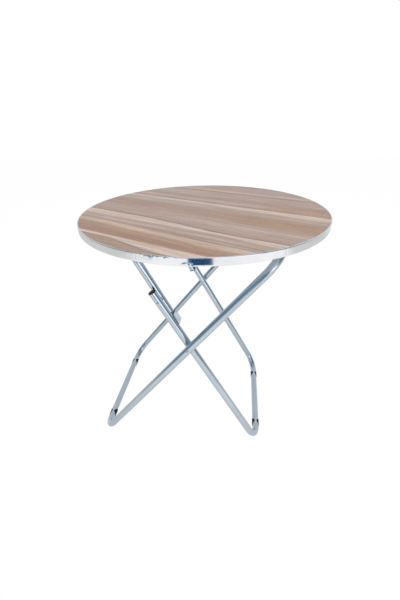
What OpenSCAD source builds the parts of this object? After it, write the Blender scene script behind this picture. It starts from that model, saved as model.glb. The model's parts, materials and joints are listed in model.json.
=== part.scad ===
// Round folding table. A disc top stands on a scissor of bent tubes.
// X runs from the outer frame's foot to the inner frame's foot, Y along the floor bars, Z up.
// The origin is on the floor under the middle of the top. The front is at -Y.

/* [Table top] */
// Diameter of the top over its edge strip
top_d = 700; // [640:10:760]
// Height of the top surface over the floor
top_h = 745; // [735:1:755]
// Height of the metal edge strip
strip_h = 20; // [18:0.5:24]
// Thickness of the edge strip's sheet
strip_t = 0.8; // [0.6:0.1:1]
// Width of the lips that the strip turns over the board
lip_w = 2; // [1.6:0.1:5]
// Outer radius of the strip's bent edges
strip_bend_r = 1.2; // [0.9:0.1:1.4]
// Thickness of the wood-pattern laminate
laminate_t = 0.8; // [0.5:0.1:1.2]
// Open joint between the laminate and the strip's lip
laminate_gap = 0.4; // [0.4:0.1:0.8]

/* [Tubing] */
// Outside diameter of the frame tube
tube_d = 22; // [20:0.5:24]
// Wall of the frame tube
tube_wall = 1.2; // [1:0.1:1.6]
// Bend radius of the outer frame, on the tube's centre line
outer_bend_r = 65; // [50:5:75]
// Bend radius of the inner frame, on the tube's centre line
inner_bend_r = 60; // [50:5:65]
// Bend radius of the support frame, on the tube's centre line
support_bend_r = 65; // [50:5:70]

/* [Stance] */
// Distance of the outer frame's floor bar from the middle
outer_foot_x = 326; // [316:2:336]
// Distance of the inner frame's floor bar from the middle
inner_foot_x = 211; // [202:1:220]
// Distance of the scissor pivot from the middle, on the outer foot's side
scissor_x = 16; // [12:1:20]
// Height of the scissor pivot over the floor
scissor_z = 411; // [405:1:417]
// Depth of the top hinges' axis under the top surface
hinge_drop = 35; // [35:0.5:38]
// Angle by which the support leg stands past the line of the inner leg
over_centre = 1.5; // [1:0.1:1.6]

/* [Frames] */
// Distance between the leg centres of the outer frame
outer_span = 462; // [446:2:480]
// Free space between the legs of two neighbouring frames
leg_space = 4; // [3.5:0.5:8]
// Length of the inner leg past its toggle rivet
inner_leg_run = 33; // [28:1:38]
// Length of the support leg past its toggle rivet
tail_run = 86; // [82:1:92]

/* [Rivets and spacers] */
// Diameter of the rivet shanks
rivet_d = 6; // [5:0.5:7]
// Diameter of the rivet heads
rivet_head_d = 12; // [10:0.5:13]
// Height of the domed rivet heads
rivet_head_h = 2.4; // [1.8:0.1:3]
// Diameter of the spacers between the legs
spacer_d = 16; // [13:0.5:17]
// Play round a rivet or a hinged tube, on the diameter
pivot_play = 0.1; // [0.06:0.01:0.16]
// Side gap between a spacer and the leg that turns against it
side_gap = 0.3; // [0.3:0.05:0.6]

/* [Stop plates] */
// Distance from the toggle rivet to the plate
plate_start = 54; // [50:1:58]
// Length of the plate along the leg
plate_l = 34; // [28:1:36]
// Thickness of the plate
plate_t = 1.6; // [1.2:0.1:2]
// Reach of the plate past the inner leg's centre line
plate_reach = 1; // [0.5:0.5:6]
// Reach of the plate past the support leg's centre line
plate_inset = 8; // [7:0.5:12]
// Radius of the plate's free lower corner
plate_corner_r = 8; // [4:1:10]
// Width of the welded pad between the plate and the support leg
pad_w = 14; // [10:1:16]

/* [Hinge clips] */
// Distance from a clip to the start of its crossbar's bend
clip_gap = 30; // [10:2:40]
// Width of a clip along the crossbar
clip_w = 24; // [18:1:30]
// Wall of a clip round the crossbar
clip_wall = 3; // [2.5:0.5:4]
// Length of a clip's flange across the crossbar
clip_l = 62; // [58:1:70]
// Thickness of a clip's flange
clip_flange_t = 3; // [2.5:0.5:3.5]
// Radius of the flange's corners
clip_corner_r = 6; // [3:0.5:8]
// Thickness of the ribs between a clip's saddle and its flange
rib_t = 2; // [1.5:0.1:2.5]
// Height of the ribs on the saddle
rib_h = 9; // [6:0.5:11]
// Distance between a clip's two screws
screw_pitch = 46; // [42:1:48]
// Diameter of the screw shanks
screw_d = 4; // [3:0.5:5]
// Diameter of the screw heads
screw_head_d = 8; // [7:0.5:9]
// Height of the screw heads
screw_head_h = 2.4; // [2:0.1:3]
// Width of the cross recess in a screw head
recess_w = 1; // [0.8:0.1:1.2]
// Length of the cross recess
recess_l = 4.4; // [3.6:0.2:5]
// Depth of the cross recess
recess_depth = 1.4; // [1:0.1:1.6]
// Depth of the screws in the board
screw_bite = 12; // [8:1:14]
// Play of a screw in its holes, on the diameter
screw_play = 0.2; // [0.1:0.05:0.3]

/* [Caps and glides] */
// Height of a cap over the tube's end
cap_h = 1.6; // [1.2:0.1:4]
// Width of the tube's rim that stays bare round a cap
cap_rim = 0.8; // [0.5:0.1:0.9]
// Length of a cap's plug inside the tube
cap_plug_l = 14; // [8:1:18]
// Play of a cap's plug in the tube, on the diameter
cap_play = 0.1; // [0.06:0.01:0.16]
// Rounding of a cap's rim
cap_round = 1; // [0.5:0.1:1.2]
// Wall of a floor glide's arms
glide_wall = 1.2; // [1:0.1:1.8]
// Thickness of a glide under the tube
glide_sole_t = 2; // [1.9:0.1:3]
// Width of a glide's flat sole
glide_sole_w = 16; // [12:1:18]
// Length of a floor glide along its bar
glide_l = 30; // [26:1:34]
// Angle over which a glide's arms leave the tube bare at the top
glide_open = 60; // [50:5:90]
// Distance from a glide to the start of its bar's bend
glide_gap = 1.5; // [1:0.5:6]

/* [Hidden] */
$fn = 72;
// Thickness that a cutting shape has beyond what it cuts
spare = 1;

// The top, from the floor up
top_r = top_d / 2;
strip_z = top_h - strip_h;
core_z = strip_z + strip_t;
core_r = top_r - strip_t;
lip_r = top_r - lip_w;
laminate_r = lip_r - laminate_gap;

// The tubing and the planes of the legs
tube_r = tube_d / 2;
bore_r = tube_r - tube_wall;
bar_z = tube_r + glide_sole_t;
leg_pitch = tube_d + leg_space;
outer_y = outer_span / 2;
inner_y = outer_y - leg_pitch;
support_y = inner_y - leg_pitch;
hinge_z = top_h - hinge_drop;

// Places of the glides and the hinge clips, held off the bends of their bars
outer_glide_y = outer_y - outer_bend_r - glide_gap - glide_l / 2;
inner_glide_y = inner_y - inner_bend_r - glide_gap - glide_l / 2;
outer_clip_y = outer_y - outer_bend_r - clip_gap - clip_w / 2;
support_clip_y = support_y - support_bend_r - clip_gap - clip_w / 2;

// Angles of the legs, from +X, and their unit vectors
outer_angle = atan2(scissor_z - bar_z, outer_foot_x - scissor_x);
inner_angle = atan2(scissor_z - bar_z, -inner_foot_x - scissor_x);
support_angle = inner_angle - over_centre;
outer_dir = [cos(outer_angle), sin(outer_angle)];
inner_dir = [cos(inner_angle), sin(inner_angle)];
support_dir = [cos(support_angle), sin(support_angle)];

// The four pivots: scissor, outer hinge, toggle and support hinge.
// The toggle is placed so that all four lie on one line when the table is folded flat.
scissor = [-scissor_x, scissor_z];
outer_arm = (hinge_z - scissor_z) / outer_dir[1];
outer_hinge = scissor + outer_arm * outer_dir;
reach = (hinge_z - scissor_z) / support_dir[1];
slope = inner_dir[1] / support_dir[1];
toggle_top = reach * (1 + support_dir[0]) - outer_arm * outer_dir[0] + outer_arm;
toggle_arm = toggle_top / (1 + slope - inner_dir[0] + slope * support_dir[0]);
toggle = scissor + toggle_arm * inner_dir;
support_arm = reach - toggle_arm * slope;
support_hinge = toggle + support_arm * support_dir;

// Lengths along the legs, from each frame's own bar
outer_leg = norm(scissor - [-outer_foot_x, bar_z]);
inner_leg = norm(scissor - [inner_foot_x, bar_z]);
outer_len = outer_leg + outer_arm;
inner_len = inner_leg + toggle_arm + inner_leg_run;
support_len = support_arm + tail_run;

front = -1;
rear = 1;

// Frames of the three tubes: X runs along the legs, Z square to the frame's plane
module on_outer_frame() {
    translate([-outer_foot_x, 0, bar_z]) rotate([0, -outer_angle, 0]) children();
}
module on_inner_frame() {
    translate([inner_foot_x, 0, bar_z]) rotate([0, -inner_angle, 0]) children();
}
module on_support_frame() {
    translate([support_hinge[0], 0, support_hinge[1]]) rotate([0, 180 - support_angle, 0]) children();
}

// Puts what is drawn for the rear on the front or the rear side
module on_side(side) {
    if (side == front) mirror([0, 1, 0]) children();
    else children();
}
module both_sides() {
    for (side = [front, rear]) on_side(side) children();
}

// Domed head of a rivet or a screw, which rises along +Z
module dome(d, h) {
    dome_r = (pow(d / 2, 2) + pow(h, 2)) / (2 * h);
    intersection() {
        translate([0, 0, h - dome_r]) sphere(r = dome_r);
        cylinder(d = d, h = h + spare);
    }
}
// Hollow tube of a given length along Z
module tube(l) {
    difference() {
        cylinder(r = tube_r, h = l);
        translate([0, 0, -spare]) cylinder(r = bore_r, h = l + 2 * spare);
    }
}
module leg(y, from, to) {
    translate([from, y, 0]) rotate([0, 90, 0]) tube(to - from);
}
module bar(x, half) {
    translate([x, half, 0]) rotate([90, 0, 0]) tube(2 * half);
}
// Quarter bend about the Z axis, from +X to +Y
module bend(r) {
    rotate_extrude(angle = 90) translate([r, 0]) difference() {
        circle(r = tube_r);
        circle(r = bore_r);
    }
}
// Bar across the frame with a bend at each end, which turns the tube along +X
module bar_with_bends(half, r) {
    bar(0, half - r);
    both_sides() translate([r, half - r, 0]) rotate([0, 0, 90]) bend(r);
}
module cross_bore(x) {
    translate([x, outer_span, 0]) rotate([90, 0, 0]) cylinder(d = rivet_d + pivot_play, h = 2 * outer_span);
}

// Table top
module board_core() {
    color([0.84, 0.84, 0.82]) difference() {
        translate([0, 0, core_z]) cylinder(r = core_r, h = top_h - strip_t - core_z, $fn = 180);
        screw_places(outer_hinge[0], outer_clip_y) screw_hole(screw_bite + spare);
        screw_places(support_hinge[0], support_clip_y) screw_hole(screw_bite + spare);
    }
}

module laminate_sheet() {
    color([0.66, 0.56, 0.5]) translate([0, 0, top_h - strip_t]) cylinder(r = laminate_r, h = laminate_t, $fn = 180);
}

// The strip is bent round the board's edge, with a lip above and below
module edge_strip() {
    color([0.86, 0.87, 0.88]) rotate_extrude($fn = 180) difference() {
        union() {
            translate([lip_r, strip_z]) square([lip_w - strip_bend_r, strip_h]);
            translate([lip_r, strip_z + strip_bend_r]) square([lip_w, strip_h - 2 * strip_bend_r]);
            for (z = [strip_z + strip_bend_r, top_h - strip_bend_r])
                translate([top_r - strip_bend_r, z]) circle(r = strip_bend_r);
        }
        translate([lip_r - spare, core_z]) square([core_r - lip_r + spare, strip_h - 2 * strip_t]);
    }
}

// Outline of a hinge clip from the side, with the crossbar's axis at the origin
module clip_side() {
    saddle_r = tube_r + clip_wall;
    under_board = core_z - hinge_z;
    circle(r = saddle_r);
    translate([-saddle_r, 0]) square([2 * saddle_r, under_board]);
    translate([-clip_l / 2, under_board - clip_flange_t]) square([clip_l, clip_flange_t]);
}
// Outline of a clip from above, a rectangle with round corners
module clip_plan() {
    square([clip_l - 2 * clip_corner_r, clip_w], center = true);
    square([clip_l, clip_w - 2 * clip_corner_r], center = true);
    corner = [clip_l / 2 - clip_corner_r, clip_w / 2 - clip_corner_r];
    for (x = [-1, 1], y = [-1, 1]) translate([x * corner[0], y * corner[1]]) circle(r = clip_corner_r);
}
// Rib from the flange's underside down to the saddle
module clip_rib() {
    low = core_z - hinge_z - clip_flange_t;
    wall_x = tube_r + clip_wall;
    end_x = clip_l / 2 - clip_corner_r;
    polygon([
        [wall_x - spare, low + spare], [end_x, low + spare], [end_x, low],
        [wall_x, low - rib_h], [wall_x - spare, low - rib_h]
    ]);
}
// Hinge clips: a saddle under the board with a bore for the crossbar
module hinge_clip(x, y) {
    color([0.12, 0.12, 0.13]) translate([x, y, hinge_z]) difference() {
        union() {
            intersection() {
                rotate([90, 0, 0]) linear_extrude(clip_w, center = true) clip_side();
                translate([0, 0, -tube_d]) linear_extrude(2 * tube_d) clip_plan();
            }
            for (side = [-1, 1]) translate([0, side * (clip_w - rib_t) / 2, 0])
                rotate([90, 0, 0]) linear_extrude(rib_t, center = true) {
                    clip_rib();
                    mirror([1, 0]) clip_rib();
                }
        }
        rotate([90, 0, 0]) cylinder(d = tube_d + pivot_play, h = 2 * clip_w, center = true);
        for (side = [-1, 1]) translate([side * screw_pitch / 2, 0, core_z - hinge_z]) screw_hole(spare);
    }
}

module screw_places(x, y) {
    for (dx = [-1, 1], dy = [-1, 1]) translate([x + dx * screw_pitch / 2, dy * y, core_z]) children();
}
// Hole from under a clip's flange up into the board
module screw_hole(depth) {
    under_flange = clip_flange_t + spare;
    translate([0, 0, -under_flange]) cylinder(d = screw_d + screw_play, h = under_flange + depth);
}
// Pan-head screw with a cross recess
module screw() {
    translate([0, 0, -clip_flange_t]) cylinder(d = screw_d, h = clip_flange_t + screw_bite);
    translate([0, 0, -clip_flange_t]) mirror([0, 0, 1]) difference() {
        dome(screw_head_d, screw_head_h);
        for (turn = [0, 90]) rotate([0, 0, turn])
            translate([-recess_l / 2, -recess_w / 2, screw_head_h - recess_depth])
                cube([recess_l, recess_w, recess_depth + spare]);
    }
}
module outer_hinge_screws() {
    color([0.75, 0.77, 0.8]) screw_places(outer_hinge[0], outer_clip_y) screw();
}
module support_hinge_screws() {
    color([0.75, 0.77, 0.8]) screw_places(support_hinge[0], support_clip_y) screw();
}

// Outer frame: one closed loop, from the floor bar to the crossbar under the top
module outer_frame_tube() {
    color([0.78, 0.81, 0.85]) on_outer_frame() difference() {
        union() {
            bar_with_bends(outer_y, outer_bend_r);
            translate([outer_len, 0, 0]) mirror([1, 0, 0]) bar_with_bends(outer_y, outer_bend_r);
            both_sides() leg(outer_y, outer_bend_r, outer_len - outer_bend_r);
        }
        cross_bore(outer_leg);
    }
}

// Inner frame: a U from the floor bar, with open upper ends
module inner_frame_tube() {
    color([0.78, 0.81, 0.85]) on_inner_frame() difference() {
        union() {
            bar_with_bends(inner_y, inner_bend_r);
            both_sides() leg(inner_y, inner_bend_r, inner_len);
        }
        cross_bore(inner_leg);
        cross_bore(inner_leg + toggle_arm);
    }
}

// Support frame: a U from the crossbar under the top, with tails past the toggle rivets
module support_frame_tube() {
    color([0.78, 0.81, 0.85]) on_support_frame() difference() {
        union() {
            bar_with_bends(support_y, support_bend_r);
            both_sides() leg(support_y, support_bend_r, support_len);
        }
        cross_bore(support_arm);
    }
}

// Shank between two distances from the middle, with a dome on the inner or outer end
module rivet(from, to, inner_head, outer_head) {
    translate([0, to, 0]) rotate([90, 0, 0]) cylinder(d = rivet_d, h = to - from);
    if (outer_head) translate([0, to, 0]) rotate([-90, 0, 0]) dome(rivet_head_d, rivet_head_h);
    if (inner_head) translate([0, from, 0]) rotate([90, 0, 0]) dome(rivet_head_d, rivet_head_h);
}
// Spacer seated on the inner or outer side of a leg, with its far end just short of the next leg
module spacer(leg_y, out) {
    run = tube_r + leg_space - side_gap;
    difference() {
        translate([0, leg_y, 0]) rotate([-90 * out, 0, 0]) cylinder(d = spacer_d, h = run);
        translate([-spacer_d, leg_y, 0]) rotate([0, 90, 0]) cylinder(r = tube_r, h = 2 * spacer_d);
        translate([0, leg_y, 0]) rotate([-90 * out, 0, 0]) cylinder(d = rivet_d + pivot_play, h = run + spare);
    }
}

module scissor_rivet(side) {
    color([0.7, 0.72, 0.76]) on_outer_frame() translate([outer_leg, 0, 0])
        on_side(side) rivet(outer_y - tube_r - leg_space + side_gap, outer_y + tube_r, false, true);
}
module scissor_spacer(side) {
    color([0.82, 0.83, 0.84]) on_outer_frame() translate([outer_leg, 0, 0]) on_side(side) spacer(outer_y, -1);
}
module scissor_rivet_end(side) {
    color([0.7, 0.72, 0.76]) on_inner_frame() translate([inner_leg, 0, 0])
        on_side(side) rivet(inner_y - tube_r, inner_y + tube_r, true, false);
}
module toggle_rivet(side) {
    color([0.7, 0.72, 0.76]) on_support_frame() translate([support_arm, 0, 0])
        on_side(side) rivet(support_y - tube_r, inner_y + tube_r, true, true);
}
module toggle_spacer(side) {
    color([0.82, 0.83, 0.84]) on_support_frame() translate([support_arm, 0, 0]) on_side(side) spacer(support_y, 1);
}

// Stop plate: a flat plate on the support leg's tail that comes to rest on the inner leg.
// It lies along the inner leg, so the pad under it takes up the over-centre angle.
module along_inner_leg() {
    translate([support_arm, 0, 0]) rotate([0, -over_centre, 0]) children();
}
module plate_outline() {
    width = inner_y + plate_reach - support_y + plate_inset;
    corner = [plate_start + plate_l - plate_corner_r, inner_y + plate_reach - plate_corner_r];
    difference() {
        translate([plate_start, support_y - plate_inset]) square([plate_l, width]);
        translate(corner) square(plate_corner_r + spare);
    }
    translate(corner) circle(r = plate_corner_r);
}
module stop_plate(side) {
    plate_z = tube_r + side_gap;
    color([0.78, 0.8, 0.84]) on_support_frame() on_side(side) {
        along_inner_leg() translate([0, 0, plate_z]) linear_extrude(plate_t) plate_outline();
        difference() {
            along_inner_leg() translate([plate_start, support_y - pad_w / 2, 0]) cube([plate_l, pad_w, plate_z]);
            translate([0, support_y, 0]) rotate([0, 90, 0]) cylinder(r = tube_r, h = support_len + plate_l);
        }
    }
}

// Plug cap for an open tube end that faces +X
module cap() {
    cap_r = tube_r - cap_rim;
    rotate([0, 90, 0]) {
        translate([0, 0, -cap_plug_l]) cylinder(d = 2 * bore_r - cap_play, h = cap_plug_l);
        rotate_extrude() {
            square([cap_r - cap_round, cap_h]);
            square([cap_r, cap_h - cap_round]);
            intersection() {
                translate([cap_r - cap_round, cap_h - cap_round]) circle(r = cap_round);
                square([cap_r, cap_h]);
            }
        }
    }
}
module inner_end_cap(side) {
    color([0.05, 0.05, 0.06]) on_inner_frame() on_side(side) translate([inner_len, inner_y, 0]) cap();
}
module tail_cap(side) {
    color([0.05, 0.05, 0.06]) on_support_frame() on_side(side) translate([support_len, support_y, 0]) cap();
}

// Floor glide: a clip round the floor bar with a flat sole and two arms with arched ends
module glide(x, y) {
    outer_r = tube_r + glide_wall;
    arch_z = outer_r * cos(glide_open / 2) - glide_l / 2;
    color([0.05, 0.05, 0.06]) translate([x, y, bar_z]) difference() {
        intersection() {
            union() {
                rotate([90, 0, 0]) cylinder(r = outer_r, h = glide_l, center = true);
                translate([0, 0, -bar_z / 2]) cube([glide_sole_w, glide_l, bar_z], center = true);
            }
            rotate([90, 0, 90]) linear_extrude(2 * tube_d, center = true) {
                translate([0, arch_z]) circle(d = glide_l);
                translate([-glide_l / 2, -bar_z]) square([glide_l, bar_z + arch_z]);
            }
        }
        rotate([90, 0, 0]) cylinder(d = tube_d + pivot_play, h = glide_l + 2 * spare, center = true);
    }
}

board_core();
laminate_sheet();
edge_strip();
hinge_clip(outer_hinge[0], -outer_clip_y);  // outer_hinge_clip_front
hinge_clip(outer_hinge[0], outer_clip_y);  // outer_hinge_clip_rear
hinge_clip(support_hinge[0], -support_clip_y);  // support_hinge_clip_front
hinge_clip(support_hinge[0], support_clip_y);  // support_hinge_clip_rear
outer_hinge_screws();
support_hinge_screws();
outer_frame_tube();
scissor_rivet(front);  // scissor_rivet_front
scissor_rivet(rear);  // scissor_rivet_rear
scissor_spacer(front);  // scissor_spacer_front
scissor_spacer(rear);  // scissor_spacer_rear
glide(-outer_foot_x, -outer_glide_y);  // outer_glide_front
glide(-outer_foot_x, outer_glide_y);  // outer_glide_rear
inner_frame_tube();
scissor_rivet_end(front);  // scissor_rivet_end_front
scissor_rivet_end(rear);  // scissor_rivet_end_rear
inner_end_cap(front);  // inner_end_cap_front
inner_end_cap(rear);  // inner_end_cap_rear
glide(inner_foot_x, -inner_glide_y);  // inner_glide_front
glide(inner_foot_x, inner_glide_y);  // inner_glide_rear
support_frame_tube();
toggle_rivet(front);  // toggle_rivet_front
toggle_rivet(rear);  // toggle_rivet_rear
toggle_spacer(front);  // toggle_spacer_front
toggle_spacer(rear);  // toggle_spacer_rear
stop_plate(front);  // stop_plate_front
stop_plate(rear);  // stop_plate_rear
tail_cap(front);  // tail_cap_front
tail_cap(rear);  // tail_cap_rear
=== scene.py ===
import json
import math

import bmesh
import bpy
from mathutils import Matrix, Vector, noise


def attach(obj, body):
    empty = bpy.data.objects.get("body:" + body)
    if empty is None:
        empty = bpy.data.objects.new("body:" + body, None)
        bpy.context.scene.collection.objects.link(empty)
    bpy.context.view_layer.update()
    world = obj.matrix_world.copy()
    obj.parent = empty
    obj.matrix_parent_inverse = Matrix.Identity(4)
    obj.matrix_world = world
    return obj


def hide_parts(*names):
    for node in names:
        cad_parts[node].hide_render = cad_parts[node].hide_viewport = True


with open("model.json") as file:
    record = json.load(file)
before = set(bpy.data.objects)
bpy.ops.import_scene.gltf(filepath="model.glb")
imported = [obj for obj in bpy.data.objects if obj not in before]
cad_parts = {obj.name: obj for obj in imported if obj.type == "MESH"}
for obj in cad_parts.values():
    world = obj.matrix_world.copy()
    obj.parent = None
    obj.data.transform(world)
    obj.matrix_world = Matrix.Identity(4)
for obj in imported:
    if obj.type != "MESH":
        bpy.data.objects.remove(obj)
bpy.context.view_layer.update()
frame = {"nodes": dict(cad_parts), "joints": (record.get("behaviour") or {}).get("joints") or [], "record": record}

nodes = frame["nodes"]
joints = {joint["name"]: Vector(joint["pos_m"]) for joint in frame["joints"]}
millimetre = 0.001  # in metres, as everything in the scene
metre = 1000  # in mm
print("frame loaded:", len(nodes), "nodes")


# Camera, where the fitted rim and floor bars of the photograph put it
view = {
    "place": (0.1012, -0.9443, 0.9960),  # metres
    "turn": 9.737,  # degrees, to the left of +Y
    "tilt": 32.596,  # degrees, below the horizon
    "roll": -1.936,  # degrees, clockwise where negative
    "focalPixels": 323.4,
    "framePixels": (400, 600),
    "axisPixels": (184.8, 314.4),  # where the axis of the lens meets the frame
}


def makeCamera():
    turn, tilt, roll = (math.radians(view[name]) for name in ("turn", "tilt", "roll"))
    ahead = Vector((-math.sin(turn), math.cos(turn), 0))
    right = Vector((math.cos(turn), math.sin(turn), 0))
    forward = ahead * math.cos(tilt) - Vector((0, 0, math.sin(tilt)))
    up = ahead * math.sin(tilt) + Vector((0, 0, math.cos(tilt)))
    rolledRight = right * math.cos(roll) + up * math.sin(roll)
    rolledUp = up * math.cos(roll) - right * math.sin(roll)
    lens = bpy.data.cameras.new("camera")
    wide, high = view["framePixels"]
    lens.sensor_width = 36
    lens.lens = view["focalPixels"] * lens.sensor_width / high
    lens.shift_x = (wide / 2 - view["axisPixels"][0]) / high
    lens.shift_y = (view["axisPixels"][1] - high / 2) / high
    lens.clip_start = 0.01
    camera = bpy.data.objects.new("camera", lens)
    bpy.context.scene.collection.objects.link(camera)
    axes = Matrix((rolledRight, rolledUp, -forward)).transposed()
    camera.matrix_world = Matrix.Translation(view["place"]) @ axes.to_4x4()
    bpy.context.scene.camera = camera


makeCamera()
print("camera placed")


# Material helpers. Sockets go by number where a name comes twice: Map Range has its value at 0, from at 1 and 2
# and to at 3 and 4, and Mix has its share at 0 and its colours at 6 and 7.
def toLinear(hexCode):
    parts = [int(hexCode[i : i + 2], 16) / 255 for i in (0, 2, 4)]
    return [p / 12.92 if p <= 0.04045 else ((p + 0.055) / 1.055) ** 2.4 for p in parts] + [1.0]


def addNode(tree, kind, inputs=None, **settings):
    node = tree.nodes.new("ShaderNode" + kind)
    for name, value in settings.items():
        setattr(node, name, value)
    for key, value in (inputs or {}).items():
        if isinstance(value, bpy.types.Node):
            value = value.outputs[0]
        if isinstance(value, bpy.types.NodeSocket):
            tree.links.new(value, node.inputs[key])
        else:
            node.inputs[key].default_value = value
    return node


def newMaterial(name):
    material = bpy.data.materials.new(name)
    material.use_nodes = True
    tree = material.node_tree
    return material, tree, tree.nodes["Principled BSDF"]


def fillRamp(node, stops):
    ramp = node.color_ramp
    while len(ramp.elements) < len(stops):
        ramp.elements.new(0.5)
    for element, (place, hexCode) in zip(ramp.elements, stops):
        element.position = place
        element.color = toLinear(hexCode)


# Melamine laminate, printed and pressed: satin walnut planks with cream sapwood streaks and dark seams
laminate = {
    "grainTurn": 25.5,  # degrees between the grain and X
    # Waves in the streaks: mm across and along the grain, and how far an edge strays
    "strays": ((110, 420, 5), (5, 130, 2.5)),
    "strayDepth": 20, "grainDepth": 5,  # depth of the waves in the noise, and between one grain and the next
    # Edges that leave the straight: where across the grain the bend sets in, is full, and ends again,
    # between which places along the grain it grows, and to how many mm
    "bends": (
        ((-366, -346, -318, -291), (-110, 110), 20),
        ((-275, -250, -214, -199), (-260, 250), 18),
        ((-204, -182, -170, -160), (130, 260), 9),
        ((-166, -152, -120, -60), (-130, 170), 22),
        ((30, 44, 58, 72), (-60, 180), 11),
    ),
    # Runs that begin or end within the plank: the same edges across and along the grain, tone and strength
    "runs": (
        ((-104, -96, -86, -79), (-90, 30), "blush", 0.75),
        ((-263, -259, -256, -251), (20, 90), "clay", 0.6),
        ((-246, -236, -222, -216), (150, 250), "cream", 0.7),
        ((-78, -52, 0, 14), (20, 200), "ember", 0.75),
        ((76, 96, 132, 158), (90, 230), "ember", 0.8),
        ((-290, -250, -238, -228), (60, 230), "ember", 0.3),
        ((140, 160, 196, 222), (60, -300), "ash", 0.75),
        ((26, 36, 56, 64), (40, -80), "ash", 0.85),
    ),
    # Slow drifts of redder heartwood along the planks: size in mm, and where in the noise they set in
    "drift": {"across": 22, "along": 300, "depth": 40, "from": 0.47, "full": 0.7, "most": 0.35, "tone": "ember"},
    # Grain over the streaks: mm across and along it, and the tone from its thin to its thick parts.
    # Growth rings, two sets of fine lines drawn coarser than the printed pores, short dark flecks and specks.
    "grains": (
        (7, 260, (0.28, 0.72), (0.9, 1.08)),
        (3.2, 110, (0.34, 0.66), (0.8, 1.2)),
        (4.6, 170, (0.47, 0.54), (0.95, 1.05)),
        (3.6, 22, (0.57, 0.68), (1.02, 0.81)),
        (4.5, 10, (0.35, 0.65), (0.955, 1.05)),
    ),
    "embossed": 1, "relief": 0.1,  # which grain is pressed into the surface too, and how many mm deep
    "gloss": ((0.2, 0.8), (0.42, 0.54)),  # two values of that grain, and the roughness at each
    "tones": {
        "cream": "dcc8bb", "blush": "ccb4a8", "sand": "d2b8a4", "ash": "bfb0a8", "rose": "bea598",
        "taupe": "b79f94", "clay": "b0978b", "bark": "b49583", "heart": "ad8672", "ember": "b89379",
        "line": "927e74", "seam": "735f54",
    },
    # Places across the grain in mm from the middle, and the tone there
    "streaks": (
        (-345, "bark"), (-320, "bark"), (-310, "clay"), (-307, "line"), (-303, "cream"), (-294, "cream"),
        (-289, "heart"), (-283, "heart"), (-262, "heart"), (-246, "bark"), (-232, "ember"), (-224, "sand"),
        (-210, "sand"), (-203, "clay"), (-199, "clay"), (-190, "blush"), (-183, "rose"), (-173, "rose"),
        (-169, "rose"), (-163, "cream"), (-133, "cream"), (-130, "seam"), (-126, "clay"), (-118, "taupe"),
        (-98, "rose"), (-74, "rose"), (-52, "taupe"), (-38, "clay"), (-22, "bark"), (4, "bark"),
        (12, "clay"), (22, "rose"),
    ),
    "upperStreaks": (
        (22, "rose"), (52, "rose"), (62, "blush"), (67, "cream"), (75, "cream"), (80, "blush"),
        (83, "line"), (88, "clay"), (98, "rose"), (110, "blush"), (120, "rose"), (130, "clay"),
        (146, "clay"), (160, "taupe"), (178, "rose"), (192, "taupe"), (206, "rose"), (216, "rose"),
        (222, "clay"), (226, "line"), (231, "taupe"), (240, "blush"), (252, "blush"), (262, "rose"),
        (276, "taupe"), (312, "rose"), (330, "clay"), (345, "clay"),
    ),
}


def woodGrain(tree, grainPlace, acrossSize, alongSize, depth):
    # noise drawn out along the grain, at a depth of its own so that no two patterns match
    scale = (1 / alongSize, 1 / acrossSize, 1)
    spot = addNode(tree, "Mapping", {"Vector": grainPlace, "Location": (0, 0, depth), "Scale": scale})
    return addNode(tree, "TexNoise", {"Vector": spot, "Scale": 1.0, "Detail": 3.0, "Roughness": 0.6})


def runWeight(tree, along, across, edges, reach):
    # 1 between the inner edges across the grain, and growing along it from one place to the other
    spans = ((across, edges[0], edges[1]), (across, edges[3], edges[2]), (along, reach[0], reach[1]))
    rising, falling, growing = (
        addNode(tree, "MapRange", {0: where, 1: start, 2: end}, interpolation_type="SMOOTHSTEP")
        for where, start, end in spans
    )
    within = addNode(tree, "Math", {0: rising, 1: falling}, operation="MULTIPLY")
    return addNode(tree, "Math", {0: within, 1: growing}, operation="MULTIPLY")


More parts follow.
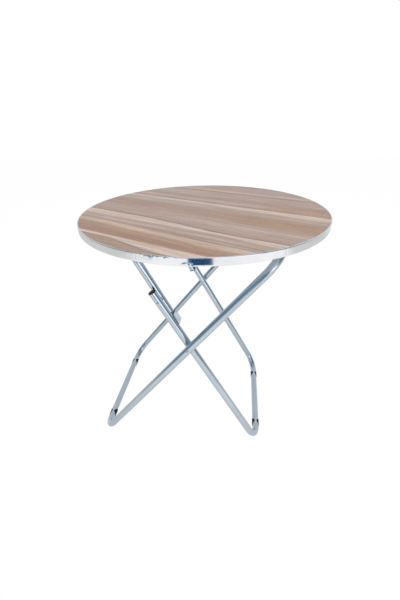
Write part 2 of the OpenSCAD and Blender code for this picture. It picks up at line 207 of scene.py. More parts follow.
def laminateMaterial():
    material, tree, shader = newMaterial("melamineLaminatePressed")
    tones = {name: toLinear(code) for name, code in laminate["tones"].items()}
    place = addNode(tree, "TexCoord").outputs["Object"]
    turn = (0, 0, math.radians(laminate["grainTurn"]))
    grainPlace = addNode(tree, "Mapping", {"Vector": place, "Rotation": turn, "Scale": (metre, metre, metre)})
    parts = addNode(tree, "SeparateXYZ", {0: grainPlace})
    along, across = parts.outputs[0], parts.outputs[1]
    # streaks stray a little along the plank, and some edges bend away in a long wave
    where = across
    for acrossSize, alongSize, stray in laminate["strays"]:
        waves = woodGrain(tree, grainPlace, acrossSize, alongSize, laminate["strayDepth"])
        wander = addNode(tree, "MapRange", {0: waves, 3: -stray, 4: stray})
        where = addNode(tree, "Math", {0: where, 1: wander}, operation="ADD")
    bent = where
    for edges, reach, dip in laminate["bends"]:
        weight = runWeight(tree, along, where, edges, reach)
        bent = addNode(tree, "Math", {0: weight, 1: dip, 2: bent}, operation="MULTIPLY_ADD")
    # one colour ramp for each half of the top, because a ramp holds 32 tones at most
    halves = []
    for streaks in (laminate["streaks"], laminate["upperStreaks"]):
        low, high = streaks[0][0], streaks[-1][0]
        ramp = addNode(tree, "ValToRGB", {0: addNode(tree, "MapRange", {0: bent, 1: low, 2: high})})
        fillRamp(ramp, [((mm - low) / (high - low), laminate["tones"][tone]) for mm, tone in streaks])
        halves.append(ramp)
    upper = addNode(tree, "Math", {0: bent, 1: laminate["upperStreaks"][0][0]}, operation="GREATER_THAN")
    colour = addNode(tree, "Mix", {0: upper, 6: halves[0], 7: halves[1]}, data_type="RGBA").outputs[2]
    for edges, reach, tone, strength in laminate["runs"]:
        weight = runWeight(tree, along, where, edges, reach)
        share = addNode(tree, "Math", {0: weight, 1: strength}, operation="MULTIPLY")
        colour = addNode(tree, "Mix", {0: share, 6: colour, 7: tones[tone]}, data_type="RGBA").outputs[2]
    drift = laminate["drift"]
    waves = woodGrain(tree, grainPlace, drift["across"], drift["along"], drift["depth"])
    redder = addNode(tree, "MapRange", {0: waves, 1: drift["from"], 2: drift["full"], 4: drift["most"]})
    colour = addNode(tree, "Mix", {0: redder, 6: colour, 7: tones[drift["tone"]]}, data_type="RGBA").outputs[2]
    for layer, (acrossSize, alongSize, (thin, thick), (thinTone, thickTone)) in enumerate(laminate["grains"]):
        lines = woodGrain(tree, grainPlace, acrossSize, alongSize, layer * laminate["grainDepth"])
        tone = addNode(tree, "MapRange", {0: lines, 1: thin, 2: thick, 3: thinTone, 4: thickTone})
        shaded = addNode(tree, "Mix", {0: 1.0, 6: colour, 7: tone}, data_type="RGBA", blend_type="MULTIPLY")
        colour = shaded.outputs[2]
        if layer == laminate["embossed"]:
            fineLines = lines
    tree.links.new(colour, shader.inputs["Base Color"])
    (low, high), (smooth, rough) = laminate["gloss"]
    gloss = addNode(tree, "MapRange", {0: fineLines, 1: low, 2: high, 3: smooth, 4: rough})
    tree.links.new(gloss.outputs[0], shader.inputs["Roughness"])
    relief = laminate["relief"] * millimetre
    emboss = addNode(tree, "Bump", {"Height": fineLines, "Strength": 0.3, "Distance": relief})
    tree.links.new(emboss.outputs[0], shader.inputs["Normal"])
    return material


# Particle board with white backing paper, pressed: matt, and the chips show faintly through the paper
board = {"chip": 5, "relief": 0.06, "tones": ("d6d9de", "c9ccd2"), "roughness": 0.7}  # chip and relief in mm


def boardMaterial():
    material, tree, shader = newMaterial("backingPaperPressed")
    place = addNode(tree, "TexCoord").outputs["Object"]
    cells = {"Vector": place, "Scale": metre / board["chip"], "Randomness": 1.0}
    chips = addNode(tree, "TexVoronoi", cells, feature="SMOOTH_F1")
    tones = [toLinear(code) for code in board["tones"]]
    chipTone = addNode(tree, "SeparateColor", {0: chips.outputs["Color"]}).outputs[0]
    colour = addNode(tree, "Mix", {0: chipTone, 6: tones[0], 7: tones[1]}, data_type="RGBA")
    tree.links.new(colour.outputs[2], shader.inputs["Base Color"])
    shader.inputs["Roughness"].default_value = board["roughness"]
    bump = addNode(tree, "Bump", {"Height": chipTone, "Strength": 0.3, "Distance": board["relief"] * millimetre})
    tree.links.new(bump.outputs[0], shader.inputs["Normal"])
    return material


noiseSpan = (0.3, 0.7)  # most of a noise's values lie between these


# Metals: tones and roughness go from one side of a cloudy noise to the other, and a fine bump comes from
# the way the metal was made. Cloud, grain and relief are in mm.
def metalMaterial(name, tones, roughness, cloud, grain, relief):
    material, tree, shader = newMaterial(name)
    low, high = noiseSpan
    place = addNode(tree, "TexCoord").outputs["Object"]
    clouds = addNode(tree, "TexNoise", {"Vector": place, "Scale": metre / cloud, "Detail": 4.0, "Roughness": 0.6})
    eased = addNode(tree, "MapRange", {0: clouds, 1: low, 2: high})
    colour = addNode(tree, "Mix", {0: eased, 6: toLinear(tones[0]), 7: toLinear(tones[1])}, data_type="RGBA")
    tree.links.new(colour.outputs[2], shader.inputs["Base Color"])
    shader.inputs["Metallic"].default_value = 1.0
    rough = addNode(tree, "MapRange", {0: clouds, 1: low, 2: high, 3: roughness[0], 4: roughness[1]})
    tree.links.new(rough.outputs[0], shader.inputs["Roughness"])
    marks = addNode(tree, "TexNoise", {"Vector": place, "Scale": metre / grain, "Detail": 3.0})
    bump = addNode(tree, "Bump", {"Height": marks, "Strength": 0.5, "Distance": relief * millimetre})
    tree.links.new(bump.outputs[0], shader.inputs["Normal"])
    return material


# Zinc plated steel tube, drawn and plated: cool and bright, with long clean reflections
zincTube = metalMaterial("zincPlatedTubeDrawn", ("c9d1d9", "c0c9d2"), (0.16, 0.2), cloud=60, grain=40, relief=0.008)
# Plated sheet steel, pressed: a little duller than the tubes
zincSheet = metalMaterial("zincPlatedSheetPressed", ("f4f6f9", "e9edf2"), (0.22, 0.3), cloud=18, grain=6, relief=0.008)
# Bare steel, sheared: the dull edges of the plates, drawn far darker than bare steel is, as painted shade that
# outlines them
shadedBareEdge = metalMaterial("bareSteelShearedPaintedShade", ("5d646b", "484e55"), (0.35, 0.5), cloud=6, grain=2, relief=0.02)
# Plated rivets and screws, cold headed: small and bright
zincRivet = metalMaterial("zincPlatedRivetHeaded", ("dbe0e4", "c6cdd3"), (0.3, 0.42), cloud=6, grain=1, relief=0.01)
# Aluminium strip, rolled: nearly white, with long soft wrinkles
rolledStrip = metalMaterial("aluminiumStripRolled", ("f9f9fa", "eceef0"), (0.08, 0.14), cloud=60, grain=22, relief=0.1)

# Crinkles pressed into the strip beside the front lap, at its upper edge and further on at its lower one,
# drawn higher than the real ones so that they show. Turn is in degrees round the top, middle in mm out and
# up, reach in mm along and up to where they end, and grain and height in mm.
crinkles = [
    {"turn": 260, "middle": (350, 746), "reach": (52, 13), "grain": 10, "height": 4},
    {"turn": 271.2, "middle": (350, 727), "reach": (14, 8), "grain": 12, "height": 2},
]
crinkleCore = 0.6  # share of the reach over which they keep their full height


def pressCrinkles(material, size):
    tree = material.node_tree
    normal = tree.nodes["Principled BSDF"].inputs["Normal"]
    before = normal.links[0].from_socket
    place = addNode(tree, "TexCoord").outputs["Object"]
    (radius, high), (along, up) = size["middle"], size["reach"]
    turn = math.radians(size["turn"])
    scale = Vector((1 / along, 1 / along, 1 / up)) / millimetre
    middle = Vector((radius * math.cos(turn), radius * math.sin(turn), high)) * millimetre
    near = addNode(tree, "Mapping", {"Vector": place, "Location": -middle * scale, "Scale": scale})
    reach = addNode(tree, "VectorMath", {0: near}, operation="LENGTH").outputs["Value"]
    share = addNode(tree, "MapRange", {0: reach, 1: 1.0, 2: crinkleCore})
    creases = addNode(tree, "TexNoise", {"Vector": place, "Scale": metre / size["grain"], "Detail": 1.0})
    height = addNode(tree, "Math", {0: share, 1: creases}, operation="MULTIPLY")
    bump = addNode(tree, "Bump", {"Height": height, "Distance": size["height"] * millimetre, "Normal": before})
    tree.links.new(bump.outputs[0], normal)


for patch in crinkles:
    pressCrinkles(rolledStrip, patch)

# Moulded plastics: matt, with the spark texture of the mould, drawn coarser than it is so that it shows
plastic = {
    "grain": 0.8, "relief": 0.05,  # mm
    # shade is painted: the texture's hollows darker and its tips lighter, as shade and light fall on the relief
    "shade": (0.85, 1.15),  # the tone's share in the texture's hollows and on its tips
    "specular": 0.3,
}


def plasticMaterial(name, hexCode, roughness):
    material, tree, shader = newMaterial(name)
    (low, high), (hollow, tip) = noiseSpan, plastic["shade"]
    place = addNode(tree, "TexCoord").outputs["Object"]
    spark = addNode(tree, "TexNoise", {"Vector": place, "Scale": metre / plastic["grain"], "Detail": 2.0})
    # the tone follows the relief: painted shade in its hollows and painted light on its tips
    tone = addNode(tree, "MapRange", {0: spark, 1: low, 2: high, 3: hollow, 4: tip})
    shades = {0: 1.0, 6: toLinear(hexCode), 7: tone}
    colour = addNode(tree, "Mix", shades, data_type="RGBA", blend_type="MULTIPLY")
    tree.links.new(colour.outputs[2], shader.inputs["Base Color"])
    shader.inputs["Roughness"].default_value = roughness
    shader.inputs["Specular IOR Level"].default_value = plastic["specular"]
    bump = addNode(tree, "Bump", {"Height": spark, "Strength": 0.4, "Distance": plastic["relief"] * millimetre})
    tree.links.new(bump.outputs[0], shader.inputs["Normal"])
    return material


# Polyethylene, moulded: black and matt, for the caps, hinge clips and glides
blackPlastic = plasticMaterial("polyethyleneMoulded", "060709", 0.45)
# Nylon, moulded: pale grey and a little smoother, for the spacers
greyNylon = plasticMaterial("nylonMoulded", "c9ccce", 0.4)
finishes = {
    "laminate": laminateMaterial(),
    "board": boardMaterial(),
    "strip": rolledStrip,
    "tube": zincTube,
    "plate": zincSheet,
    "rivet": zincRivet,
    "screw": zincRivet,
    "spacer": greyNylon,
    "clip": blackPlastic,
    "cap": blackPlastic,
}
slotOf = {part["node"]: part["material_slot"] for part in frame["record"]["subparts"]}
for name, thing in nodes.items():
    thing.data.materials.clear()
    thing.data.materials.append(finishes[slotOf[name]])
print("finishes given to", len(nodes), "nodes")


# Mesh helpers
def toMesh(name, verts, faces, finish, smoothAngle=35):
    # edges sharper than smoothAngle, in degrees, stay crisp
    mesh = bpy.data.meshes.new(name)
    mesh.from_pydata([tuple(v) for v in verts], [], faces)
    mesh.validate()
    work = bmesh.new()
    work.from_mesh(mesh)
    bmesh.ops.remove_doubles(work, verts=work.verts, dist=1e-6)
    bmesh.ops.recalc_face_normals(work, faces=work.faces)
    for face in work.faces:
        face.smooth = True
    limit = math.radians(smoothAngle)
    for edge in work.edges:
        edge.smooth = len(edge.link_faces) == 2 and edge.calc_face_angle(0) < limit
    work.to_mesh(mesh)
    work.free()
    mesh.materials.append(finish)
    thing = bpy.data.objects.new(name, mesh)
    bpy.context.scene.collection.objects.link(thing)
    return thing


def joinRings(verts, faces, rings, ends):
    # ends are "open", "filled" with a flat face each, or "joined" into a loop
    start, count = len(verts), len(rings[0])
    for ring in rings:
        verts.extend(ring)
    for i in range(len(rings) if ends == "joined" else len(rings) - 1):
        a, b = start + i * count, start + (i + 1) % len(rings) * count
        for k in range(count):
            n = (k + 1) % count
            faces.append((a + k, a + n, b + n, b + k))
    if ends == "filled":
        faces.append(tuple(range(start, start + count)))
        faces.append(tuple(range(len(verts) - count, len(verts))))


def arcPoints(x, y, radius, turns):
    return [(x + radius * math.cos(turn), y + radius * math.sin(turn)) for turn in turns]


def finishPiece(thing, body, slot, *replaced):
    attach(thing, body)
    if replaced:
        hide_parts(*replaced)


# Turned pieces: a profile of (distance along the axis, radius) in mm, from place along axis
turned = {"sides": 40, "tip": 0.001}  # tip is the least radius in mm, where a profile meets its axis


def turnedPiece(name, profile, place, axis, finish):
    axis = Vector(axis).normalized()
    side = axis.orthogonal().normalized()
    other = axis.cross(side)
    turns = [2 * math.pi * k / turned["sides"] for k in range(turned["sides"])]
    rings = []
    for along, radius in profile:
        middle = Vector(place) + axis * along * millimetre
        radius = max(radius, turned["tip"])
        rings.append([middle + (side * math.cos(t) + other * math.sin(t)) * radius * millimetre for t in turns])
    verts, faces = [], []
    joinRings(verts, faces, rings, "filled")
    return toMesh(name, verts, faces, finish)


# Frames: each lies in a plane that leans along its legs, and is laid out in mm along the legs and across them
tubing = {
    "radius": 11, "wall": 1.2,  # mm
    "sides": 48, "bendSteps": 18, "smoothAngle": 50,
    "legStep": 40,  # mm between sections on the straights
}
# In mm: foot is the middle of the floor bar, to the right and up, half is from the table's middle to a leg's
# axis, bend is the corners' radius, and run is how far the open ends go past the toggle
frames = {
    "outer": {"foot": (-326, 13), "half": 231, "bend": 65},
    "inner": {"foot": (211, 13), "half": 205, "bend": 60, "run": 33},
    "support": {"half": 179, "bend": 65, "run": 86},
}
scissor = Vector((-0.016, 0, 0.411))
outerHinge, supportHinge, toggle = (joints[name] for name in ("outer_fold", "support_fold", "inner_fold"))


def frameAxes(name):
    # where the frame's layout starts, and the directions along its legs and square to its plane
    foot = frames[name].get("foot")
    start = Vector((foot[0], 0, foot[1])) * millimetre if foot else supportHinge
    aim = {"outer": outerHinge, "inner": toggle, "support": toggle}[name]
    along = (aim - start).normalized()
    return start, along, along.cross(Vector((0, 1, 0)))


def onFrame(name, along, across):
    start, direction = frameAxes(name)[:2]
    return start + (direction * along + Vector((0, across, 0))) * millimetre


def legLength(name, target):
    start, direction = frameAxes(name)[:2]
    return (target - start).dot(direction) / millimetre


def straightRun(low, high):
    count = max(2, round((high - low) / tubing["legStep"]))
    return [low + (high - low) * k / count for k in range(1, count)]


def bendPath(half, bend, barAt, turnIn):
    # a quarter bend from the front leg, the bar, and a quarter bend to the rear leg
    flat = half - bend
    turns = [math.pi / 2 * k / tubing["bendSteps"] for k in range(tubing["bendSteps"] + 1)]
    front = [(barAt + turnIn * bend * (1 - math.sin(t)), -flat - bend * math.cos(t)) for t in turns]
    rear = [(barAt + turnIn * bend * (1 - math.cos(t)), flat + bend * math.sin(t)) for t in turns]
    return front + [(barAt, across) for across in straightRun(-flat, flat)] + rear


def sweepTube(name, which, points, closed):
    path = [onFrame(which, along, across) for along, across in points]
    normal = frameAxes(which)[2]
    sides = tubing["sides"]
    turns = [2 * math.pi * k / sides for k in range(sides)]
    verts, faces = [], []
    for radius in [tubing["radius"]] if closed else [tubing["radius"], tubing["radius"] - tubing["wall"]]:
        rings = []
        for i, middle in enumerate(path):
            before = path[i - 1] if i or closed else middle
            after = path[(i + 1) % len(path)] if i < len(path) - 1 or closed else middle
            side = (after - before).normalized().cross(normal)
            rings.append([middle + (side * math.cos(t) + normal * math.sin(t)) * radius * millimetre for t in turns])
        joinRings(verts, faces, rings, "joined" if closed else "open")
    if not closed:
        # rims from the outside to the bore at both ends
        bore = len(path) * sides
        for end in (0, bore - sides):
            for k in range(sides):
                n = (k + 1) % sides
                faces.append((end + k, end + n, bore + end + n, bore + end + k))
    return toMesh(name, verts, faces, finishes["tube"], tubing["smoothAngle"])


def makeTubes():
    half, bend = frames["outer"]["half"], frames["outer"]["bend"]
    length = legLength("outer", outerHinge)
    legRun = straightRun(bend, length - bend)
    loop = bendPath(half, bend, 0, 1) + [(along, half) for along in legRun]
    loop += bendPath(half, bend, length, -1)[::-1] + [(along, -half) for along in reversed(legRun)]
    finishPiece(sweepTube("outerFrameTube", "outer", loop, True), "outer_frame", "tube", "outer_frame_tube")
    for which, body in (("inner", "inner_frame"), ("support", "support_frame")):
        half, bend = frames[which]["half"], frames[which]["bend"]
        length = legLength(which, toggle) + frames[which]["run"]
        legRun = straightRun(bend, length) + [length]
        path = [(along, -half) for along in reversed(legRun)] + bendPath(half, bend, 0, 1)
        path += [(along, half) for along in legRun]
        finishPiece(sweepTube(which + "FrameTube", which, path, False), body, "tube", body + "_tube")


makeTubes()
print("tubes swept")


# Edge strip: two lengths of rolled strip bent round the board, the short one lapped over the long one
edgeStrip = {
    "radius": 350, "low": 725, "high": 745, "thick": 0.4, "lip": 2.4, "bend": 1.7,  # mm
    "bendSteps": (6, 4), "smoothAngle": 40,  # steps of the bends outside and inside
    "inset": 0.45, "lapRise": 0.42,  # mm from the radius in to the strip, and out again where it laps over
    "lapStarts": (252, 307),  # degrees round the top, where the short length begins and ends
    "lap": 2.0,  # degrees that the ends lie over one another
    "lapFade": 2.2,  # laps from its end where the short length has come down to the board again
    "steps": (0.125, 0.3),  # degrees between sections, finer in the crimped short length
    "wave": 0.05, "waves": 9, "waveSlice": 0.3,  # mm that it wavers inward, and the size and slice of the noise
    # small crimps, mostly by the laps: place in degrees, depth in mm and width in degrees
    "crimps": (
        (226.0, 0.3, 0.7), (244.5, 0.5, 0.7), (249.8, 2.2, 0.4), (252.4, 2.3, 0.3), (254.6, 1.8, 0.35),
        (257.0, 1.3, 0.5), (259.6, 2.2, 0.4), (262.8, 1.6, 0.3), (266.0, 2.2, 0.45), (284.0, 0.4, 1.0),
        (297.0, 0.4, 0.8), (306.5, 2.3, 0.25), (322.0, 0.6, 0.8),
    ),
    # shares of a crimp's depth by which the upper lip sags, up to so many mm, and the wall is dented
    "lipSag": 0.35, "mostSag": 0.3, "wallDent": 0.12,
    "knee": 0.75, "kneeSag": 0.4,  # where the lip bends down, as a share of its width, and its share of the sag
    "wallParts": (0.25, 0.5, 0.75),  # where the wall has points between its bends
}


def crimpDepth(angle):
    return sum(
        depth * math.exp(-(((angle - place + 180) % 360 - 180) / width) ** 2)
        for place, depth, width in edgeStrip["crimps"]
    )


def stripSection(radius, pinch):
    # outline of the strip's section in (radius, height), mm, outer side first, with a crimp pinch mm deep
    size = edgeStrip
    low, high, bend, lip, thick = (size[key] for key in ("low", "high", "bend", "lip", "thick"))
    outer, inner = size["bendSteps"]
    quarter = math.pi / 2
    middle, tip, knee = radius - bend, radius - lip, radius - lip * size["knee"]
    drop = min(pinch * size["lipSag"], size["mostSag"])
    kneeDrop = drop * size["kneeSag"]
    outline = [(tip, high - drop), (knee, high - kneeDrop)]
    outline += arcPoints(middle, high - bend, bend, [quarter * (1 - k / outer) for k in range(outer + 1)])
    for part in size["wallParts"]:
        dent = pinch * size["wallDent"] * math.sin(math.pi * part)
        outline.append((radius - dent, high - bend + (low - high + 2 * bend) * part))
    outline += arcPoints(middle, low + bend, bend, [-quarter * k / outer for k in range(outer + 1)])
    outline += [(tip, low), (tip, low + thick)]
    outline += arcPoints(middle, low + bend, bend - thick, [-quarter * (1 - k / inner) for k in range(inner + 1)])
    outline += arcPoints(middle, high - bend, bend - thick, [quarter * k / inner for k in range(inner + 1)])
    outline += [(knee, high - thick - kneeDrop), (tip, high - thick - drop)]
    return outline


def stripLength(name, start, end, over):
    # from start to end in degrees; a length that lies over the other rises at both ends
    size = edgeStrip
    count = math.ceil((end - start) / size["steps"][0 if over else 1])
    rings = []
    for i in range(count + 1):
        angle = start + (end - start) * i / count
        turn = math.radians(angle)
        cos, sin = math.cos(turn), math.sin(turn)
        fromEnd = min(angle - start, end - angle)
        rise = max(0.0, min(1.0, (size["lap"] * size["lapFade"] - fromEnd) / size["lap"])) if over else 0.0
        radius = size["radius"] - (size["inset"] - size["lapRise"] * rise)
        wave = size["wave"] * noise.noise(Vector((cos, sin, size["waveSlice"])) * size["waves"])
        section = stripSection(radius + min(wave, 0), crimpDepth(angle))
        rings.append([Vector((r * cos, r * sin, height)) * millimetre for r, height in section])
    verts, faces = [], []
    joinRings(verts, faces, rings, "filled")
    return toMesh(name, verts, faces, finishes["strip"], size["smoothAngle"])


def makeStrip():
    (first, second), lap = edgeStrip["lapStarts"], edgeStrip["lap"]
    finishPiece(stripLength("edgeStripShort", first, second, True), "top", "strip", "edge_strip")
    finishPiece(stripLength("edgeStripLong", second - lap, first + 360 + lap, False), "top", "strip", "edge_strip")


makeStrip()
print("edge strip bent")


# Rivets: domed heads with a flat rim, upset against the tube
rivet = {
    "radius": 6, "height": 2.4, "rim": 0.5, "bevel": 0.15, "domeSteps": 8,  # the head, in mm
    "shank": 3, "gap": 0.3,  # mm, the shank's radius, and the space that parts the halves of the opened pivot
}


def headProfile(start, outward):
    # a head that stands on start, 1 along the axis or -1 against it
    radius, height, rim, bevel, steps = (rivet[key] for key in ("radius", "height", "rim", "bevel", "domeSteps"))
    sphere = (radius**2 + (height - rim) ** 2) / (2 * (height - rim))
    profile = [(0, radius - bevel), (bevel, radius), (rim, radius)]
    for k in range(1, steps + 1):
        ring = radius * math.cos(math.pi / 2 * k / steps)
        profile.append((height - sphere + math.sqrt(sphere**2 - ring**2), ring))
    return [(start + outward * along, ring) for along, ring in profile][::outward]


def makeRivets():
    tube, shank = tubing["radius"], rivet["shank"]
    outer, inner, support = (frames[which]["half"] for which in ("outer", "inner", "support"))
    parted = inner + tube + rivet["gap"]
    outerHalf = [(parted, 0), (parted, shank), (outer + tube, shank)] + headProfile(outer + tube, 1)
    innerHalf = headProfile(inner - tube, -1) + [(inner - tube, shank), (inner + tube, shank), (inner + tube, 0)]
    through = [(support - tube, shank), (inner + tube, shank)]
    whole = headProfile(support - tube, -1) + through + headProfile(inner + tube, 1)
    for name, sign in (("front", -1), ("rear", 1)):
        for piece, profile, place, body, node in (
            ("scissorRivet.", outerHalf, scissor, "outer_frame", "scissor_rivet_"),
            ("scissorRivetEnd.", innerHalf, scissor, "inner_frame", "scissor_rivet_end_"),
            ("toggleRivet.", whole, toggle, "support_frame", "toggle_rivet_"),
        ):
            thing = turnedPiece(piece + name, profile, place, (0, sign, 0), finishes["rivet"])
            finishPiece(thing, body, "rivet", node + name)


makeRivets()
print("rivets set")


# End caps: plugs pressed into the open tubes, with a head as wide as the tube and a shallow dish in it
endCap = {
    "radius": 11.3, "height": 3.6, "round": 2.0, "roundSteps": 4,  # the head, in mm
    "plug": 9.75, "plugLength": 14, "chamfer": 1, "shoulder": 0.01,  # the plug, in mm
    "dish": 0.5, "flatWidth": 1.2, "flatFall": 0.1, "slopeEnd": 2,  # mm deep, and in from the rounding
}


def capProfile():
    size = endCap
    height, plug, chamfer, shoulder = (size[key] for key in ("height", "plug", "chamfer", "shoulder"))
    radius, rounding, length, steps = (size[key] for key in ("radius", "round", "plugLength", "roundSteps"))
    flat = radius - rounding
    profile = [(-length, plug - chamfer), (-length + chamfer, plug), (-shoulder, plug), (shoulder, radius)]
    for k in range(steps + 1):
        t = math.pi / 2 * k / steps
        profile.append((height - rounding * (1 - math.sin(t)), radius - rounding * (1 - math.cos(t))))
    profile.append((height - size["flatFall"], flat - size["flatWidth"]))
    profile += [(height - size["dish"], flat - size["slopeEnd"]), (height - size["dish"], 0)]
    return profile


def makeCaps():
    for which, body, node in (("inner", "inner_frame", "inner_end_cap_"), ("support", "support_frame", "tail_cap_")):
        length = legLength(which, toggle) + frames[which]["run"]
        direction = frameAxes(which)[1]
        for name, sign in (("front", -1), ("rear", 1)):
            place = onFrame(which, length, sign * frames[which]["half"])
            thing = turnedPiece(node.replace("_", "") + name, capProfile(), place, direction, finishes["cap"])
            finishPiece(thing, body, "cap", node + name)


makeCaps()
print("caps pressed in")


# Stop plates: sheet with rounded corners along the inner leg, welded to the tail through a pad
stopPlate = {
    "start": 54, "length": 34,  # mm from the toggle down the leg
    "inset": 8, "reach": 1,  # mm across, inside the tail's axis and past the leg's
    "thick": 1.6, "corner": 5, "smallCorner": 2, "edge": 0.35,  # mm, edge is the width of its softened edges
    "gap": 0.3,  # mm between the plate and the leg
    "padWidth": 14, "padInset": 1.5, "padSeat": 0.05,  # mm, seat is how far the pad sinks into the tail
    "cornerSteps": 6, "saddleSteps": 12, "padSteps": 4, "smoothAngle": 50,
    "sheared": 0.8,  # a face that looks less than this much square to the sheet is one of its sheared edges
}


def plateOutline():
    size = stopPlate
    near, far = size["start"], size["start"] + size["length"]
    low, high = frames["support"]["half"] - size["inset"], frames["inner"]["half"] + size["reach"]
    small, steps = size["smallCorner"], size["cornerSteps"]
    corners = [(near, low, small), (far, low, small), (far, high, size["corner"]), (near, high, small)]
    outline = []
    for i, (x, y, r) in enumerate(corners):
        turns = [math.radians(180 + 90 * i + 90 / steps * k) for k in range(steps + 1)]
        outline += arcPoints(x + (r if x == near else -r), y + (r if y == low else -r), r, turns)
    return outline


def addPlate(verts, faces, along, square, bottom, sign):
    size = stopPlate
    thick, edge = size["thick"], size["edge"]
    outline = plateOutline()
    middleX, middleY = (sum(point[i] for point in outline) / len(outline) for i in (0, 1))
    rings = []
    for height, shrink in ((0, edge), (edge, 0), (thick - edge, 0), (thick, edge)):
        ring = []
        for x, y in outline:
            away = Vector((x - middleX, y - middleY)).normalized() * shrink
            across = Vector((0, sign * (y - away.y), 0))
            ring.append(toggle + (along * (x - away.x) + across + square * (bottom + height)) * millimetre)
        rings.append(ring)
    joinRings(verts, faces, rings, "filled")


def addPad(verts, faces, along, square, bottom, sign):
    # its saddle sits on the tail's round top, and its flat top under the plate
    size = stopPlate
    half, tube = size["padWidth"] / 2, tubing["radius"]
    middle = frames["support"]["half"]
    tail = frameAxes("support")[1]
    saddle = [-half + 2 * half * k / size["saddleSteps"] for k in range(size["saddleSteps"] + 1)]
    top = [half - 2 * half * k / size["padSteps"] for k in range(size["padSteps"] + 1)]
    rings = []
    for x in (size["start"] + size["padInset"], size["start"] + size["length"] - size["padInset"]):
        base = toggle + along * x * millimetre
        drop = (toggle + tail * (base - toggle).dot(tail) - base).dot(square) / millimetre
        section = [(y, drop + math.sqrt(tube**2 - y**2) - size["padSeat"]) for y in saddle]
        section += [(y, bottom) for y in top]
        ring = [base + (Vector((0, sign * (middle + y), 0)) + square * height) * millimetre for y, height in section]
        rings.append(ring)
    joinRings(verts, faces, rings, "filled")


def makePlates():
    along = -frameAxes("inner")[1]
    square = along.cross(Vector((0, 1, 0)))
    bottom = tubing["radius"] + stopPlate["gap"]
    for name, sign in (("front", -1), ("rear", 1)):
        verts, faces = [], []
        addPlate(verts, faces, along, square, bottom, sign)
        addPad(verts, faces, along, square, bottom, sign)
        thing = toMesh("stopPlate." + name, verts, faces, finishes["plate"], stopPlate["smoothAngle"])
        # the sheared edges take the dark bare steel, painted shade along the plate's outline
        thing.data.materials.append(shadedBareEdge)
        for face in thing.data.polygons:
            face.material_index = int(abs(face.normal.dot(square)) < stopPlate["sheared"])
        finishPiece(thing, "support_frame", "plate", "stop_plate_" + name)


makePlates()
print("stop plates welded")


# Studio: pale floor, soft lamps and a plain white surround. Gloss and metal see painted reflections in its
# place: a toned floor, blue walls and two glowing cards.
white = toLinear("ffffff")
horizon = [(0.0, "7597a6"), (0.1, "708fa2"), (0.2, "7793a6")]
studio = {
    "floorSize": 14, "floorTone": "f4f4f4", "floorRoughness": 0.9,
    "glow": 0.95,  # share of the floor that glows plain white, the rest takes the shadow
    "glowSeen": 1.02, "bounce": 0.85,  # strength of that glow as it is seen, and where it lights the table
    # what gloss and metal see of the floor, by metres from the table, with white patches before and behind it
    "rings": [(0, "dadee0"), (1.2, "d5d9da"), (2.3, "d0d1cd"), (3.6, "b4c3cb"), (5, "8fabbb"), (7, "7597a6")],
    "patches": [
        {"middle": (0.8, -1.65), "half": (2.6, 1.45), "tone": "faf9fa"},
        {"middle": (2.2, 3.0), "half": (1.4, 1.4), "tone": "e2e6f0"},
    ],
    "patchEdge": (1.15, 0.75),  # shares of a patch's size where it begins and where it is full
    # and over the horizon, by height from 0 to 1: a wall that pales upwards in front, one that is dark overhead
    # at the sides, and a plain one behind. From and full run from -1 in front of the table to 1 behind it.
    "walls": [
        {"stops": horizon + [(0.3, "b4c8d3"), (0.5, "dae3e9"), (0.8, "e6ecf0"), (1.0, "eef2f4")]},
        {
            "stops": horizon + [(0.3, "8fa6b2"), (0.4, "61707a"), (0.88, "5c6b75"), (1.0, "e4e8ea")],
            "from": -0.65, "full": -0.45,
        },
        {"stops": [(0.0, "d0d8de"), (1.0, "dae1e6")], "from": 0.12, "full": 0.5},
    ],
    "surroundLevel": 0.5,  # strength of the plain white surround as a light
    # cards: glowing sheets that only gloss and metal see, painted reflections; the blue one paints a dark-blue patch
    # on the front of the edge strip, the white one a bright reflection in the metal
    # two places on the floor that each card reaches between, and its heights
    "cards": [
        {
            "name": "paintedBlueReflection", "from": (-0.08, -1.2), "to": (0.29, -1.2), "heights": (0.26, 0.5),
            "tone": "033f6a", "strength": 1.0,
        },
        {
            "name": "paintedWhiteReflection", "from": (0.9, -4.4), "to": (3.4, -2.6), "heights": (0, 1.4),
            "tone": "f6f8fa", "strength": 1.85,
        },
    ],
    "lamps": [
        {"name": "keyLamp", "place": (-1.4, -1.6, 2.6), "size": 1.8, "power": 23},
        {"name": "fillLamp", "place": (2.2, -1.2, 1.9), "size": 1.6, "power": 14},
        {"name": "rearLamp", "place": (0.4, 2.3, 2.4), "size": 2.0, "power": 18},
    ],
    "lampAim": (0, 0, 0.4),  # metres, like all places here
}


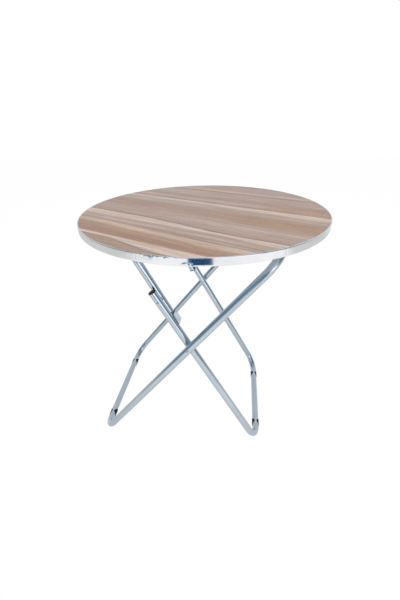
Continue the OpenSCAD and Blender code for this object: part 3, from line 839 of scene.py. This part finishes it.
def makeFloor():
    bpy.ops.mesh.primitive_plane_add(size=studio["floorSize"])
    floor = bpy.context.object
    floor.name = "floor"
    material, tree, shader = newMaterial("paperFloor")
    shader.inputs["Base Color"].default_value = toLinear(studio["floorTone"])
    shader.inputs["Roughness"].default_value = studio["floorRoughness"]
    rays = addNode(tree, "LightPath").outputs
    place = addNode(tree, "TexCoord").outputs["Object"]
    far = studio["rings"][-1][0]
    distance = addNode(tree, "VectorMath", {0: place}, operation="LENGTH").outputs["Value"]
    rings = addNode(tree, "ValToRGB", {0: addNode(tree, "MapRange", {0: distance, 2: far})})
    fillRamp(rings, [(metres / far, code) for metres, code in studio["rings"]])
    tone = rings.outputs[0]
    begins, full = studio["patchEdge"]
    for patch in studio["patches"]:
        (x, y), (halfX, halfY) = patch["middle"], patch["half"]
        offset, scale = (-x / halfX, -y / halfY, 0), (1 / halfX, 1 / halfY, 1)
        near = addNode(tree, "Mapping", {"Vector": place, "Location": offset, "Scale": scale})
        reach = addNode(tree, "VectorMath", {0: near}, operation="LENGTH").outputs["Value"]
        inPatch = addNode(tree, "MapRange", {0: reach, 1: begins, 2: full}, interpolation_type="SMOOTHSTEP")
        tone = addNode(tree, "Mix", {0: inPatch, 6: tone, 7: toLinear(patch["tone"])}, data_type="RGBA").outputs[2]
    tone = addNode(tree, "Mix", {0: rays["Is Glossy Ray"], 6: white, 7: tone}, data_type="RGBA").outputs[2]
    strength = addNode(tree, "MapRange", {0: rays["Is Diffuse Ray"], 3: studio["glowSeen"], 4: studio["bounce"]})
    glow = addNode(tree, "Emission", {"Color": tone, "Strength": strength})
    paper = addNode(tree, "MixShader", {0: studio["glow"], 1: shader, 2: glow})
    # seen from below the paper isn't there, so the table's underside can be looked at
    below = addNode(tree, "NewGeometry").outputs["Backfacing"]
    paper = addNode(tree, "MixShader", {0: below, 1: paper, 2: addNode(tree, "BsdfTransparent")})
    tree.links.new(paper.outputs[0], tree.nodes["Material Output"].inputs["Surface"])
    floor.data.materials.append(material)


def makeCards():
    for card in studio["cards"]:
        (x0, y0), (x1, y1), (low, high) = card["from"], card["to"], card["heights"]
        mesh = bpy.data.meshes.new(card["name"])
        mesh.from_pydata([(x0, y0, low), (x1, y1, low), (x1, y1, high), (x0, y0, high)], [], [(0, 1, 2, 3)])
        thing = bpy.data.objects.new(card["name"], mesh)
        bpy.context.scene.collection.objects.link(thing)
        # each card glows with its tone, a painted reflection that the camera, the light and the shadows don't see
        material, tree = newMaterial(card["name"] + "ReflectionGlow")[:2]
        glow = addNode(tree, "Emission", {"Color": toLinear(card["tone"]), "Strength": card["strength"]})
        tree.links.new(glow.outputs[0], tree.nodes["Material Output"].inputs["Surface"])
        mesh.materials.append(material)
        thing.visible_camera = thing.visible_diffuse = thing.visible_shadow = thing.visible_transmission = False


def makeSurround():
    world = bpy.data.worlds.new("surround")
    bpy.context.scene.world = world
    world.use_nodes = True
    tree = world.node_tree
    rays = addNode(tree, "LightPath").outputs
    straight = {0: rays["Is Camera Ray"], 1: rays["Is Transmission Ray"]}
    seen = addNode(tree, "Math", straight, operation="MAXIMUM")
    plain = tree.nodes["Background"]
    plain.inputs["Color"].default_value = white
    strength = addNode(tree, "MapRange", {0: seen, 3: studio["surroundLevel"], 4: 1.0})
    tree.links.new(strength.outputs[0], plain.inputs["Strength"])
    direction = addNode(tree, "SeparateXYZ", {0: addNode(tree, "TexCoord").outputs["Generated"]})
    behind, up = direction.outputs[1], direction.outputs[2]
    walls = None
    for wall in studio["walls"]:
        ramp = addNode(tree, "ValToRGB", {0: up})
        fillRamp(ramp, wall["stops"])
        if walls is None:
            walls = ramp
            continue
        span = {0: behind, 1: wall["from"], 2: wall["full"]}
        share = addNode(tree, "MapRange", span, interpolation_type="SMOOTHSTEP")
        walls = addNode(tree, "Mix", {0: share, 6: walls, 7: ramp}, data_type="RGBA").outputs[2]
    reflected = addNode(tree, "Background", {"Color": walls, "Strength": 1.0})
    mixed = addNode(tree, "MixShader", {0: rays["Is Glossy Ray"], 1: plain, 2: reflected})
    tree.links.new(mixed.outputs[0], tree.nodes["World Output"].inputs["Surface"])


def makeLamps():
    for lamp in studio["lamps"]:
        light = bpy.data.lights.new(lamp["name"], "AREA")
        light.shape = "SQUARE"
        light.size = lamp["size"]
        light.energy = lamp["power"]
        thing = bpy.data.objects.new(lamp["name"], light)
        thing.location = lamp["place"]
        thing.visible_glossy = False  # gloss and metal show the surround instead
        aim = Vector(studio["lampAim"]) - Vector(lamp["place"])
        thing.rotation_euler = aim.to_track_quat("-Z", "Y").to_euler()
        bpy.context.scene.collection.objects.link(thing)


makeFloor()
makeCards()
makeSurround()
makeLamps()
bpy.context.scene.view_settings.view_transform = "Standard"
print("studio set")
